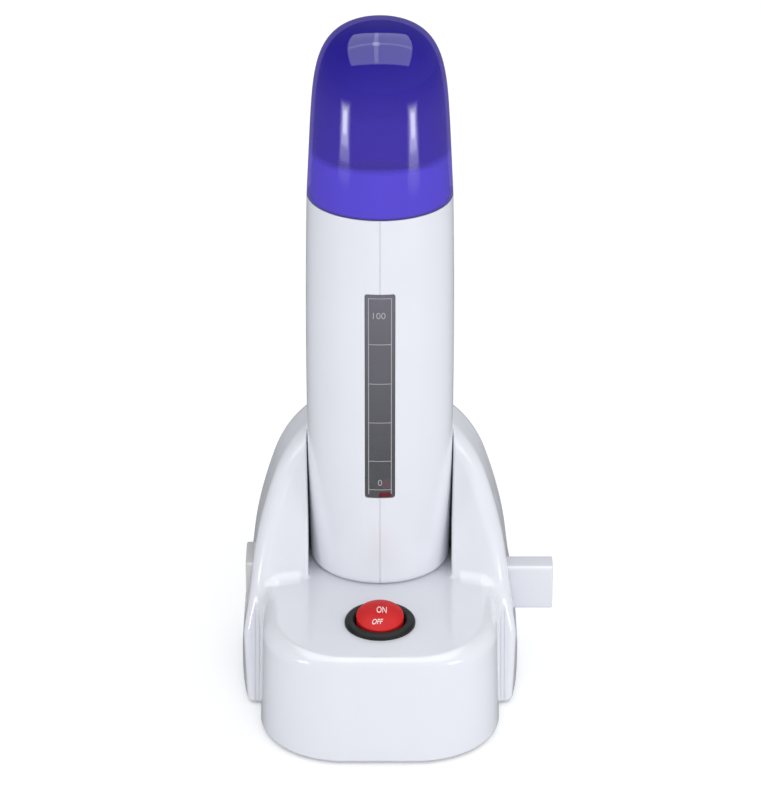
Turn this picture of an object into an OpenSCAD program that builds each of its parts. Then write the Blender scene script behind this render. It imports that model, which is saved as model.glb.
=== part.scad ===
// Roll-on wax heater: a handheld cartridge heater with a translucent lid, docked in a mains base.
// Millimetres. +Z is up, the front faces -Y, and the floor is z = 0 under the middle of the base.

/* [Handheld] */
// Widest width of the handheld, at mid height
grip_w = 57.7; // [50:0.1:72]
// Widest depth of the handheld, front to back
grip_d = 53.1; // [46:0.1:66]
// Height of the handheld from its underside to its shoulder
grip_h = 159; // [130:0.5:192]
// How much narrower the handheld is on each side at its shoulder than at mid height
grip_waist = 0.75; // [0:0.05:1.5]
// Radius of the handheld's bottom edge
grip_edge_r = 3; // [1:0.5:5]
// Wall of the two half shells
shell_wall = 1.8; // [1.4:0.1:2.4]
// Height of the neck above the shoulder at the front
neck_h = 20.5; // [12:0.5:26]
// Slope of the neck's rim, high at the front
neck_slope = 20; // [0:1:24]

/* [Lid] */
// Height of the lid
lid_h = 70; // [60:0.5:84]
// Wall of the lid
lid_wall = 1.4; // [1.2:0.1:1.8]
// Gap between the lid and the neck
lid_gap = 0.25; // [0.1:0.05:0.5]
// How much the lid narrows on each side per millimetre of height
lid_taper = 0.05; // [0:0.005:0.08]

/* [Cartridge chamber] */
// Width of the cartridge's body
cartridge_w = 45; // [38:0.5:46]
// Depth of the cartridge's body
cartridge_d = 29.8; // [24:0.2:31]
// Gap round the cartridge
cartridge_gap = 0.3; // [0.2:0.05:0.6]
// Wall of the aluminium chamber
chamber_wall = 0.9; // [0.6:0.1:1.2]
// Height of the chamber's floor above the handheld's underside
chamber_lift = 39.5; // [34:0.5:46]
// Gap between the chamber and the ribs that hold it
chamber_gap = 0.1; // [0.05:0.05:0.3]
// Thickness of the heating element
heater_t = 3; // [2:0.1:3.6]
// Height of the heating element
heater_h = 36; // [24:1:44]

/* [Level window] */
// Width of the window
window_w = 11.6; // [8:0.1:14]
// Height of the window
window_h = 88.3; // [70:0.1:98]
// Height of the window's lower edge above the handheld's underside
window_lift = 40.1; // [34:0.1:44]
// Thickness of the window's lens
lens_t = 1.6; // [1.2:0.1:2]
// Gap round the lens in its slot
lens_gap = 0.1; // [0.05:0.05:0.2]
// Number of graduations on the lens
window_bars = 4; // [2:1:6]

/* [Base] */
// Width of the base over the hood's foot
base_w = 110.6; // [98:0.2:134]
// Distance of the base's front edge from the middle
front_reach = 55; // [50:0.5:66]
// Width of the front platform
platform_w = 94; // [80:0.5:97]
// Height of the platform above the floor
platform_h = 46.5; // [42:0.5:58]
// Radius of the platform's front corners, seen from above
platform_corner_r = 33; // [20:0.5:36]
// Radius of the platform's upper edge
platform_edge_r = 7; // [4:0.5:12]
// Height at which the hood's side outline would close
hood_h = 127; // [112:0.5:154]
// Angle by which the hood's front leans back
hood_lean = 20; // [10:1:26]
// Wall of the base cover
cover_wall = 2.5; // [2:0.1:3]
// Thickness of the hood's wall behind the handheld
back_wall = 5; // [3.5:0.1:7]
// Gap between the handheld and the recess that it stands in
dock_gap = 0.6; // [0.4:0.1:1]
// Thickness of the base plate
plate_t = 2.4; // [2:0.1:3]
// Gap round the base plate
plate_gap = 0.2; // [0.1:0.05:0.4]
// Height by which the rubber feet stand proud of the plate
foot_proud = 1; // [0.6:0.1:1.4]
// Radius of a rubber foot
foot_r = 5; // [4:0.5:6]

/* [Switch] */
// Distance of the switch in front of the middle
switch_reach = 25.3; // [22:0.1:28]
// Outer radius of the switch's bezel
bezel_r = 13.8; // [12.6:0.1:15]
// Height of the bezel above the platform
bezel_h = 2; // [1.5:0.1:2.5]
// Inner radius of the bezel
switch_bore_r = 9.8; // [8.5:0.1:10.5]
// Gap between the rocker and the bezel
rocker_gap = 0.6; // [0.5:0.05:0.8]
// Tilt of the rocker to either side
rocker_tilt = 11; // [7:0.5:12]

/* [Connectors] */
// Radius of a contact pin
pin_r = 1.18; // [1:0.01:1.45]
// Distance between the two pins of a connector
pin_pitch = 8.6; // [7.2:0.1:10.4]
// Running gap between a pin and its contact
contact_gap = 0.04; // [0.01:0.01:0.1]
// Width of a connector nose
nose_w = 19.2; // [16.8:0.1:23.1]
// Thickness of a connector nose
nose_d = 10; // [8.6:0.1:12]
// Gap between a nose and its socket
socket_gap = 0.3; // [0.2:0.05:0.5]
// Distance by which the side outlet stands out of the hood's foot
outlet_out = 13.7; // [11:0.1:14.5]
// Distance of the side connectors behind the middle
side_back = 22; // [18:0.5:26]
// Height of the side connectors above the floor
side_z = 37.2; // [34:0.2:42]
// Height of the dock's nose above the recess floor
dock_nose_h = 10; // [8:0.5:12]

/* [Hidden] */
$fn = 96;
eps = 0.01;
far = 200;

// Handheld: its axis stands behind the middle, and its underside rests on the recess floor
grip_y = 28.4;
grip_z = platform_h;
shoulder_z = grip_z + grip_h;
belly_z = grip_z + grip_h * 0.57;
belly_curve = grip_waist / pow(shoulder_z - belly_z, 2);
shoulder_t = 2;
floor_t = 2;
neck_wall = 1.2;
neck_inset = lid_wall + lid_gap;
rim_z = shoulder_z + neck_h;
rim_y = grip_y - (grip_d / 2 - grip_waist - neck_inset);

// Chamber: an upright oblong tube, a little in front of the handheld's axis
chamber_w = cartridge_w + 2 * cartridge_gap + 2 * chamber_wall;
chamber_d = cartridge_d + 2 * cartridge_gap + 2 * chamber_wall;
chamber_y = grip_y - 1;
chamber_z = grip_z + chamber_lift;
chamber_back = chamber_y + chamber_d / 2;
chamber_drop = 1.5;
rib_t = 2;
flat_w = chamber_w - chamber_d;
heater_z = chamber_z + 36;
clamp_t = 1;

// Window: a slot through both half shells at the front
window_z = grip_z + window_lift;
window_r = 1;

// Indicator board: upright behind the window's lower end
board_t = 1.2;
board_y = chamber_y - chamber_d / 2 - 0.6 - board_t;
board_w = 30;
board_h = 18;
board_z = window_z - board_h + 5;
led_r = 1.5;
led_x = 2.4;

// Handheld's inlet: a cup over the dock's nose, with two pins hanging from its roof
inlet_depth = dock_nose_h + 2;
pin_tail = 9;
pin_tail_z = grip_z + inlet_depth + pin_tail;
pin_lift = 1.6;

// Base: a rounded platform in front and a hood behind, both hollow
corner_x = platform_w / 2 - platform_corner_r;
corner_y = platform_corner_r - front_reach;
platform_back = 40;
rear_y = grip_y + grip_d / 2 + dock_gap + back_wall;
hood_front_y = -11.3;
hood_side_r = 150;
hood_side_y = 20;
hood_corner_r = 20;
hood_foot_h = 4;
crest_z = hood_h - 17;
crown_r = 73;
cover_z = foot_proud;
plate_top_z = cover_z + plate_t;
ceiling_z = platform_h - cover_wall;
boss_r = 3.5;
front_boss = [33, -20];
rear_boss = [17, grip_y + grip_d / 2 - 11];
front_foot = [30, -30];
rear_foot = [34, 38];
foot_sink = 0.8;

// Screws
screw_r = 1.4;
screw_gap = 0.05;
screw_hole_r = 1.7;
screw_head_r = 2.7;
screw_head_t = 1.3;
screw_sink = 1.5;
screw_l = 10;
// Distance of a shell screw's head from the parting plane
screw_head_x = 9;

// Switch: its pivot lies in the plane of the platform's top
switch_y = -switch_reach;
switch_barrel_r = switch_bore_r + 1.6;
switch_barrel_h = 17;
rocker_r = switch_bore_r - rocker_gap;
rocker_rim = 4;
rocker_skirt = 3;
rocker_dome = 2;
pivot_z = platform_h;
axle_r = 1.2;
axle_gap = 0.05;
axle_l = 1.6;
stem_r = 2.6;
stem_l = 7;
plunger_r = 1.3;
plunger_out = 1;
blade_t = 0.8;
blade_tilt = 8;
blade_l = 12.8;
blade_gap = 0.1;
blade_z = pivot_z - stem_l - plunger_out - plunger_r - blade_gap - blade_t;
bore_floor_z = blade_z - 1.3;
terminal_w = 4.8;
terminal_t = 0.8;
terminal_gap = 0.05;
terminal_pitch = 6;
terminal_z = platform_h - switch_barrel_h - 7;

// Contacts and connector noses
contact_r = pin_r + contact_gap;
contact_wall = 0.4;
contact_l = 12;
contact_seat_r = contact_r + contact_wall;
pin_l = 10;
// How much thicker an inlet pin is where its housing holds it
pin_root = 0.4;
// Radius of a nose's and a collar's corners
nose_r = 1.6;
collar_w = nose_w + 8.4;
collar_d = nose_d + 9;
// The collar's end lies this far outside the hood's foot, or inside it: the wall leans in above
collar_proud = -1.9;
socket_l = 14;
side_x = base_w / 2;
wire_r = 1.1;
lead_r = 0.8;

// Half width of the handheld at height z
function grip_half(z) = grip_w / 2 - belly_curve * pow(z - belly_z, 2);
// Half width of the lid at height h above the shoulder
function lid_half(h) = (grip_half(shoulder_z) - lid_taper * h) * pow(1 - pow(h / lid_h, 7), 1 / 2.7);

// Oval, oblong and rounded outlines
module oval(w, d) { scale([1, d / w]) circle(d = w); }

module oblong(w, d) {
    square([w - d, d], center = true);
    for (s = [-1, 1]) translate([s * (w - d) / 2, 0]) circle(d = d);
}

module rounded(w, d, r) {
    square([w - 2 * r, d], center = true);
    square([w, d - 2 * r], center = true);
    for (sx = [-1, 1], sy = [-1, 1]) translate([sx * (w / 2 - r), sy * (d / 2 - r)]) circle(r);
}

// A turned body, made oval by narrowing its depth, in a left and a right half
module oval_turn(narrow, outline) {
    for (a = [-90, 90]) scale([1, narrow, 1]) rotate([0, 0, a])
        rotate_extrude(angle = 180, $fn = 128) polygon(outline);
}

// Places children on a side connector's axis, which runs along X, with their width upright
module on_side(x) { translate([x, side_back, side_z]) rotate([0, 90, 0]) children(); }

// Places children at both poles of a connector whose width runs along X
module poles() { for (s = [-1, 1]) translate([s * pin_pitch / 2, 0, 0]) children(); }

function unit(v) = v / norm(v);

// The start of a bend: a short way from a corner towards its neighbour
function toward(p, q, reach) = min(reach, norm(q - p) * 0.45) * unit(q - p);

// A path with each of its corners turned into a short bend
function bent(path, reach) = concat([path[0]],
    [for (i = [1 : len(path) - 2]) let (p = path[i],
        a = toward(p, path[i - 1], reach), b = toward(p, path[i + 1], reach))
            each [for (t = [0 : 0.25 : 1]) p + pow(1 - t, 2) * a + pow(t, 2) * b]],
    [path[len(path) - 1]]);

// Slides a ring of points along a run until it lies in the mitre plane at a point of the path
function slid(ring, at, run, normal) =
    [for (q = ring) q + run * (((at - q) * normal) / (run * normal))];

function rings(path, i, ring) = i == len(path) ? [] : let (
    run = unit(path[i] - path[i - 1]),
    next = i < len(path) - 1 ? unit(path[i + 1] - path[i]) : run,
    placed = slid(ring, path[i], run, unit(run + next))) concat([placed], rings(path, i + 1, placed));

// A wire along a path, as one eight-sided tube with round bends
module wire(points, r, reach = 3) {
    path = bent(points, reach);
    run = unit(path[1] - path[0]);
    side = unit(cross(run, abs(run.x) < 0.9 ? [1, 0, 0] : [0, 1, 0]));
    up = cross(run, side);
    first = [for (a = [22.5 : 45 : 359]) path[0] + r * (cos(a) * side + sin(a) * up)];
    all = concat([first], rings(path, 1, first));
    last = 8 * (len(all) - 1);
    polyhedron(points = [for (ring = all) each ring], faces = concat(
        [[for (k = [7 : -1 : 0]) k], [for (k = [0 : 7]) last + k]],
        [for (i = [0 : len(all) - 2], k = [0 : 7]) let (j = (k + 1) % 8, o = 8 * i)
            [o + k, o + j, o + 8 + j, o + 8 + k]]));
}

// The handheld's outer form, drawn in by inset, from z0 to z1
module grip_form(inset, z0, z1, edge = 0) {
    steps = ceil((z1 - z0) / 30);
    corner = [for (a = [0 : 22.5 : 67.5])
        [grip_half(z0 + edge) - inset - edge * (1 - sin(a)), z0 + edge * (1 - cos(a))]];
    side = [for (i = [0 : steps]) let (z = z0 + edge + (z1 - z0 - edge) * i / steps)
        [grip_half(z) - inset, z]];
    translate([0, grip_y, 0]) oval_turn((grip_d - 2 * inset) / (grip_w - 2 * inset),
        concat([[0, z0]], edge > 0 ? corner : [], side, [[0, z1]]));
}

// The neck's form, drawn in from the lid's outside by inset and lengthened by over at both ends
module neck_form(inset, over = 0) {
    h = neck_h + 2 * over;
    translate([0, grip_y, shoulder_z - over])
        oval_turn((grip_d - 2 * inset) / (grip_w - 2 * inset),
            [[0, 0], [lid_half(0) - inset, 0], [lid_half(neck_h) - inset, h], [0, h]]);
}

// Everything above the sloping plane that the neck's rim lies in, lowered by drop
module above_rim(drop = 0) {
    translate([0, rim_y, rim_z - drop]) rotate([-neck_slope, 0, 0])
        translate([-far / 2, -far / 2, 0]) cube(far);
}

module chamber_form(inset, z0, z1) {
    translate([0, chamber_y, z0]) linear_extrude(z1 - z0)
        oblong(chamber_w - 2 * inset, chamber_d - 2 * inset);
}

// Ribs that hold the chamber at its sides, and the shelf under it
module chamber_ribs() {
    difference() {
        union() {
            for (z = [chamber_z + 30, chamber_z + 84]) grip_form(shell_wall / 2, z, z + rib_t);
            grip_form(shell_wall / 2, chamber_z - chamber_wall - rib_t, chamber_z - chamber_wall);
        }
        chamber_form(-chamber_gap, chamber_z - chamber_wall, shoulder_z);
        translate([-flat_w, chamber_back - 6, chamber_z - 10]) cube([2 * flat_w, far, far]);
        translate([-flat_w - 1, chamber_y - chamber_d / 2 - far, chamber_z - 10])
            cube([2 * flat_w + 2, far + 4, far]);
        translate([-far / 2, chamber_back, chamber_z - 10]) cube([far, far, far]);
    }
}

// Grooves that hold the indicator board's edges
module board_rails() {
    intersection() {
        grip_form(shell_wall / 2, board_z, board_z + board_h);
        difference() {
            for (s = [-1, 1]) translate([s * (board_w / 2 + 1) - 2.5, board_y - 1.5, board_z])
                cube([5, board_t + 3, board_h]);
            translate([-board_w / 2 - 0.1, board_y - 0.1, board_z + 1])
                cube([board_w + 0.2, board_t + 0.2, board_h]);
        }
    }
}

// Tubes across the parting plane that the two shell screws run in
screw_z = [grip_z + 20, shoulder_z - 14];
screw_y = grip_y + grip_d / 2 - shell_wall - 5.2;

module shell_bosses() {
    for (z = screw_z) intersection() {
        translate([-far / 2, screw_y, z]) rotate([0, 90, 0]) cylinder(h = far, r = boss_r);
        grip_form(shell_wall / 2, z - boss_r, z + boss_r);
    }
}

module shell_screw_holes() {
    for (z = screw_z) translate([0, screw_y, z]) {
        rotate([0, -90, 0]) cylinder(h = far, r = screw_hole_r);
        translate([-screw_head_x, 0, 0]) rotate([0, -90, 0]) cylinder(h = far, r = screw_head_r + 0.2);
        rotate([0, 90, 0]) cylinder(h = 8, r = screw_r + screw_gap);
    }
}

module inlet_outline(gap) { oblong(nose_w - 1.2 + 2 * gap, nose_d - 1 + 2 * gap); }

// Both half shells in one piece, before they are parted
module grip_shell() {
    difference() {
        union() {
            difference() {
                union() {
                    grip_form(0, grip_z, shoulder_z, grip_edge_r);
                    neck_form(neck_inset, eps);
                }
                grip_form(shell_wall, grip_z + floor_t, shoulder_z - shoulder_t);
                neck_form(neck_inset + neck_wall, shoulder_t + 1);
                above_rim();
            }
            chamber_ribs();
            board_rails();
            shell_bosses();
        }
        shell_screw_holes();
        window_slot(lens_gap);
        translate([0, grip_y, grip_z - 1]) linear_extrude(floor_t + 2)
            inlet_outline(socket_gap + 1);
    }
}

// The window's slot through the handheld's front, widened by gap
module window_slot(gap) {
    w = window_w + 2 * gap;
    h = window_h + 2 * gap;
    translate([0, grip_y - grip_d / 4 - 4, window_z + window_h / 2]) rotate([90, 0, 0])
        linear_extrude(grip_d) rounded(w, h, window_r + gap);
}

module shell_left() {
    color("whitesmoke") intersection() {
        grip_shell();
        translate([-far, -far / 2, 0]) cube([far, far, 2 * far]);
    }
}

module shell_right() {
    color("whitesmoke") intersection() {
        grip_shell();
        translate([0, -far / 2, 0]) cube([far, far, 2 * far]);
    }
}

module level_window() {
    bar_pitch = window_h / (window_bars + 1);
    color("dimgray") intersection() {
        union() {
            difference() {
                intersection() {
                    grip_form(0, window_z, window_z + window_h);
                    window_slot(0);
                }
                grip_form(lens_t, window_z - 1, window_z + window_h + 1);
            }
            difference() {
                intersection() {
                    grip_form(0.8, window_z, window_z + window_h);
                    union() {
                        for (s = [-1, 1]) translate([s * (window_w / 2 - 1.2) - 0.3, 0, window_z])
                            cube([0.6, grip_y, window_h]);
                        for (i = [1 : window_bars])
                            translate([-window_w / 2 + 1, 0, window_z + i * bar_pitch - 0.3])
                                cube([window_w - 2, grip_y, 0.6]);
                    }
                }
                grip_form(lens_t + 0.6, window_z - 1, window_z + window_h + 1);
            }
        }
        window_slot(0);
    }
}

// Oblong aluminium tube with a floor, and a slot in front that lets the window show the level
module heating_chamber() {
    color("silver") difference() {
        chamber_form(0, chamber_z - chamber_wall, rim_z);
        chamber_form(chamber_wall, chamber_z, rim_z + 1);
        above_rim(chamber_drop);
        translate([0, chamber_y, chamber_z + 4 + window_h / 2]) rotate([90, 0, 0])
            linear_extrude(grip_d) rounded(window_w, window_h - 4, 3);
    }
}

// Flat ceramic element with its two tabs, on the chamber's back
module ptc_heater() {
    color("saddlebrown") translate([0, chamber_back, heater_z]) {
        translate([-flat_w / 2 + 0.6, 0, 0]) cube([flat_w - 1.2, heater_t, heater_h]);
        for (s = [-1, 1]) translate([s * pin_pitch / 2 - 1.5, heater_t / 2 - 0.25, -6])
            cube([3, 0.5, 6 + eps]);
    }
}

// Sprung steel bracket that presses the element onto the chamber
module heater_clamp() {
    lip = 1.5;
    color("gray") translate([-flat_w / 2, chamber_back, heater_z + heater_h / 4]) difference() {
        cube([flat_w, heater_t + clamp_t, heater_h]);
        translate([-1, -1, -1]) cube([flat_w + 2, heater_t + 1, heater_h - lip + 1]);
        translate([flat_w / 2, far / 2, heater_h / 2]) rotate([90, 0, 0]) cylinder(h = far, r = 2.5);
    }
}

module thermostat() {
    color("tan") translate([-3.5, chamber_back, heater_z + heater_h * 1.25 + 4]) {
        cube([7, 3.6, 16]);
        for (x = [1, 4.6]) translate([x, 1.5, -3]) cube([1.4, 0.6, 3 + eps]);
    }
}

module thermal_fuse() {
    color("gainsboro") translate([0, chamber_back + 2, heater_z - 14]) rotate([0, 90, 0]) {
        cylinder(h = 10, r = 2, center = true);
        cylinder(h = 15, r = 0.5, center = true);
    }
}

module indicator_board() {
    color("green") translate([-board_w / 2, board_y, board_z + 1 + 0.1])
        cube([board_w, board_t, board_h - 1.2]);
}

module indicator_led() {
    color("red") translate([led_x, board_y, window_z + led_r + 1]) rotate([90, 0, 0]) {
        cylinder(h = 1, r = led_r + 0.4);
        cylinder(h = 3, r = led_r);
        translate([0, 0, 3]) sphere(led_r);
    }
}

// Insulating cup in the handheld's underside that takes the dock's nose
module handheld_inlet() {
    lip = socket_gap - 0.1;
    color("dimgray") translate([0, grip_y, grip_z]) difference() {
        union() {
            translate([0, 0, floor_t]) linear_extrude(inlet_depth + 6 - floor_t) inlet_outline(3);
            linear_extrude(floor_t + eps) inlet_outline(lip + 1);
        }
        translate([0, 0, -1]) linear_extrude(inlet_depth + 1) inlet_outline(lip);
        poles() translate([0, 0, inlet_depth - 1]) cylinder(h = 10, r = pin_r);
    }
}

module handheld_pins() {
    color("goldenrod") translate([0, grip_y, grip_z + pin_lift + pin_r]) poles() {
        cylinder(h = pin_tail_z - grip_z - pin_lift - pin_r, r = pin_r);
        sphere(pin_r);
    }
}

// Supply leads from the pins to the element's tabs
module heater_leads() {
    lead_x = pin_pitch / 2;
    color("firebrick") for (s = [-1, 1]) wire([
        [s * lead_x, grip_y, pin_tail_z],
        [s * lead_x, grip_y, pin_tail_z + 4],
        [s * lead_x, chamber_back + 5, chamber_z - 1],
        [s * lead_x, chamber_back + 5, heater_z - 12],
        [s * lead_x, chamber_back + heater_t / 2, heater_z - 9],
        [s * lead_x, chamber_back + heater_t / 2, heater_z - 6]
    ], lead_r);
}

// Leads from the pins to the indicator board
module led_leads() {
    lead_x = pin_pitch / 2 + 2;
    color("black") for (s = [-1, 1]) wire([
        [s * pin_pitch / 2, grip_y - pin_r - lead_r, pin_tail_z - 2],
        [s * pin_pitch / 2, grip_y - pin_r - lead_r, pin_tail_z + 1],
        [s * lead_x, grip_y - 8, board_z + 6],
        [s * lead_x, board_y + board_t, board_z + 6]
    ], lead_r);
}

module shell_screws() {
    color("silver") for (z = screw_z) translate([0, screw_y, z]) {
        translate([-screw_head_x, 0, 0]) rotate([0, 90, 0])
            cylinder(h = screw_head_x + 6, r = screw_r);
        translate([-screw_head_x, 0, 0]) rotate([0, -90, 0])
            cylinder(h = screw_head_t, r = screw_head_r);
    }
}

// Outline of the lid from its rim to its crown, drawn in by inset
function lid_outline(inset) = concat(
    [[0, 0]],
    [for (t = [0 : 0.07 : 0.91]) let (h = lid_h * (1 - pow(1 - t, 2)))
        [lid_half(h) - inset, h * (lid_h - inset) / lid_h]],
    [[0, lid_h - inset]]);

module lid_form(inset) {
    translate([0, grip_y, shoulder_z])
        oval_turn((grip_d - 2 * inset) / (grip_w - 2 * inset), lid_outline(inset));
}

module lid() {
    color("mediumblue", 0.6) difference() {
        lid_form(0);
        translate([0, 0, -eps]) lid_form(lid_wall);
    }
}

// Half of the platform's cross-section, with its rounded upper edge
module platform_side(reach, top, edge) {
    square([reach, top - edge]);
    square([reach - edge, top]);
    translate([reach - edge, top - edge]) circle(edge);
}

// The front platform with its rounded corners and upper edge, drawn in by inset
module platform_form(inset) {
    top = platform_h - inset;
    edge = max(platform_edge_r - inset, 0.5);
    corner = platform_corner_r - inset;
    for (s = [-1, 1]) translate([s * corner_x, corner_y, 0])
        rotate_extrude() platform_side(corner, top, edge);
    translate([-corner_x, corner_y, 0]) rotate([90, 0, 90]) linear_extrude(2 * corner_x) {
        mirror([1, 0]) platform_side(corner, top, edge);
        square([platform_back - corner_y - inset, top]);
    }
    translate([0, platform_back - inset, 0]) rotate([90, 0, 0])
        linear_extrude(platform_back - inset - corner_y)
            for (m = [0, 1]) mirror([m, 0]) platform_side(platform_w / 2 - inset, top, edge);
}

// Plan of the platform
module platform_plan(inset) {
    for (s = [-1, 1]) translate([s * corner_x, corner_y]) circle(platform_corner_r - inset);
    translate([-corner_x, inset - front_reach])
        square([2 * corner_x, platform_back + front_reach - 2 * inset]);
    translate([inset - platform_w / 2, corner_y])
        square([platform_w - 2 * inset, platform_back - inset - corner_y]);
}

// Plan of the hood: bowed sides, a straight front and two round rear corners
module hood_plan(inset) {
    r = hood_side_r - inset;
    half = base_w / 2;
    back = rear_y - inset;
    corner = hood_corner_r - inset;
    intersection() {
        translate([half - hood_side_r, hood_side_y]) circle(r, $fn = 240);
        translate([hood_side_r - half, hood_side_y]) circle(r, $fn = 240);
        union() {
            translate([-far / 2, hood_front_y + inset])
                square([far, back - corner - hood_front_y - inset]);
            translate([-half + 3 + hood_corner_r, back - corner - eps])
                square([2 * (half - 3 - hood_corner_r), corner + eps]);
            for (s = [-1, 1]) translate([s * (half - 3 - hood_corner_r), back - corner])
                circle(corner);
        }
    }
}

// Front outline of the hood: half an oval on a low straight foot, under a flatter crown
module hood_arch(inset) {
    half = base_w / 2 - inset;
    intersection() {
        union() {
            translate([-half, 0]) square([2 * half, hood_foot_h]);
            translate([0, hood_foot_h]) oval(2 * half, 2 * (hood_h - hood_foot_h - inset));
        }
        translate([0, crest_z - crown_r]) circle(crown_r - inset, $fn = 240);
        translate([-far / 2, 0]) square(far);
    }
}

module hood_form(inset) {
    intersection() {
        linear_extrude(far) hood_plan(inset);
        translate([0, far / 2, 0]) rotate([90, 0, 0]) linear_extrude(far) hood_arch(inset);
        translate([0, hood_front_y, 0]) rotate([-hood_lean, 0, 0])
            translate([-far / 2, inset, -far / 2]) cube([far, far, 2 * far]);
    }
}

module base_form(inset) {
    platform_form(inset);
    hood_form(inset);
}

// The recess that the handheld stands in: straight sides in front, oval behind
module dock_recess(grow, z0) {
    w = grip_w + 2 * dock_gap + 2 * grow;
    d = grip_d + 2 * dock_gap + 2 * grow;
    translate([0, grip_y, z0]) linear_extrude(far) {
        oval(w, d);
        translate([-w / 2, -far]) square([w, far]);
    }
}

// Screw bosses that hang from the platform and from the recess floor
module cover_bosses() {
    difference() {
        union() {
            intersection() {
                for (s = [-1, 1]) translate([s * front_boss.x, front_boss.y, plate_top_z])
                    cylinder(h = far, r = boss_r);
                platform_form(cover_wall / 2);
            }
            for (s = [-1, 1]) translate([s * rear_boss.x, rear_boss.y, plate_top_z])
                cylinder(h = ceiling_z - plate_top_z + 1, r = boss_r);
        }
        base_screw_spots() translate([0, 0, plate_top_z - 1])
            cylinder(h = screw_l, r = screw_r + screw_gap);
    }
}

module base_screw_spots() {
    for (s = [-1, 1], spot = [front_boss, rear_boss]) translate([s * spot.x, spot.y, 0]) children();
}

module base_cover() {
    color("whitesmoke") difference() {
        union() {
            difference() {
                base_form(0);
                difference() {
                    base_form(cover_wall);
                    intersection() {
                        dock_recess(cover_wall, ceiling_z);
                        translate([-far / 2, hood_front_y + 2 * cover_wall, 0]) cube(far);
                    }
                }
                dock_recess(0, platform_h);
            }
            cover_bosses();
        }
        translate([-far / 2, -far / 2, -far + cover_z]) cube(far);
        translate([0, switch_y, ceiling_z - 10]) cylinder(h = far, r = switch_barrel_r + 0.1);
        translate([0, grip_y, ceiling_z - 1]) linear_extrude(cover_wall + 2) inlet_outline(0.1);
        on_side(0) linear_extrude(far) rounded(nose_w + 0.3, nose_d + 0.3, nose_r);
        on_side(-far) linear_extrude(far) rounded(collar_w + 0.3, collar_d + 0.3, nose_r);
    }
}

module foot_spots() {
    for (s = [-1, 1], spot = [front_foot, rear_foot]) translate([s * spot.x, spot.y, 0]) children();
}

module base_plate() {
    color("gainsboro") difference() {
        intersection() {
            translate([0, 0, cover_z]) linear_extrude(plate_t) {
                platform_plan(cover_wall + plate_gap);
                hood_plan(cover_wall + plate_gap);
            }
            base_form(cover_wall + plate_gap);
        }
        base_screw_spots() {
            cylinder(h = far, r = screw_hole_r);
            translate([0, 0, cover_z - 1]) cylinder(h = screw_sink + 1, r = screw_head_r + 0.3);
        }
        foot_spots() translate([0, 0, cover_z - 1]) cylinder(h = foot_sink + 1, r = foot_r + 0.2);
    }
}

module rubber_feet() {
    color("dimgray") foot_spots() cylinder(h = foot_proud + foot_sink, r = foot_r);
}

module base_screws() {
    color("silver") base_screw_spots() translate([0, 0, cover_z + screw_sink - screw_head_t]) {
        cylinder(h = screw_head_t, r = screw_head_r);
        cylinder(h = screw_l, r = screw_r);
    }
}

// Black switch housing: a round bezel, a barrel through the platform and a closed lower end
module switch_body() {
    color("#303232") translate([0, switch_y, 0]) difference() {
        union() {
            translate([0, 0, platform_h]) rotate_extrude() polygon(concat(
                [[0, 0], [bezel_r, 0], [bezel_r, bezel_h / 4]],
                [for (a = [15 : 15 : 90])
                    [bezel_r - 1.6 * (1 - cos(a)), bezel_h / 4 + bezel_h * 0.75 * sin(a)]],
                [[0, bezel_h]]));
            translate([0, 0, platform_h - switch_barrel_h])
                cylinder(h = switch_barrel_h + eps, r = switch_barrel_r);
        }
        translate([0, 0, bore_floor_z]) cylinder(h = far, r = switch_bore_r);
        translate([0, 0, pivot_z]) rotate([0, 90, 0])
            cylinder(h = 2 * (rocker_r + axle_l + 0.2), r = axle_r + axle_gap, center = true);
        for (s = [-1, 0, 1]) translate([0, s * terminal_pitch, bore_floor_z])
            cube([terminal_w + 2 * terminal_gap, terminal_t + 2 * terminal_gap, far / 4], center = true);
    }
}

// Three blades out of the switch's lower end: the middle one is the contact's fulcrum
module switch_terminals() {
    end_z = blade_z - blade_l / 2 * sin(blade_tilt) - blade_gap;
    color("goldenrod") for (s = [-1, 0, 1]) {
        top = s == 0 ? blade_z - terminal_gap : end_z;
        translate([-terminal_w / 2, switch_y + s * terminal_pitch - terminal_t / 2, terminal_z])
            cube([terminal_w, terminal_t, top - terminal_z]);
    }
}

// Everything on the rocker is drawn level and then tilted to its rest position, rear side up
module rocker_pose() {
    translate([0, switch_y, pivot_z]) rotate([rocker_tilt, 0, 0]) children();
}

module rocker() {
    dome_r = (rocker_r * rocker_r + rocker_dome * rocker_dome) / (2 * rocker_dome);
    color("crimson") rocker_pose() difference() {
        union() {
            translate([0, 0, -rocker_skirt]) cylinder(h = rocker_skirt + rocker_rim, r = rocker_r);
            intersection() {
                translate([0, 0, rocker_rim + rocker_dome - dome_r]) sphere(dome_r);
                translate([0, 0, rocker_rim - eps]) cylinder(h = rocker_dome + 1, r = rocker_r);
            }
            rotate([0, 90, 0]) cylinder(h = 2 * (rocker_r + axle_l), r = axle_r, center = true);
            translate([0, 0, -stem_l]) cylinder(h = stem_l, r = stem_r);
        }
        translate([0, 0, -stem_l - 1]) cylinder(h = stem_l, r = plunger_r + axle_gap);
    }
}

module rocker_plunger() {
    color("silver") rocker_pose() {
        translate([0, 0, -stem_l - plunger_out]) cylinder(h = 4, r = plunger_r);
        translate([0, 0, -stem_l - plunger_out]) sphere(plunger_r);
    }
}

// The plunger's spring, drawn as the plain sleeve that it fills
module rocker_spring() {
    color("gray") rocker_pose() translate([0, 0, -stem_l - plunger_out + 4]) difference() {
        cylinder(h = stem_l - 4, r = plunger_r);
        translate([0, 0, -1]) cylinder(h = stem_l, r = plunger_r - 0.5);
    }
}

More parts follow.
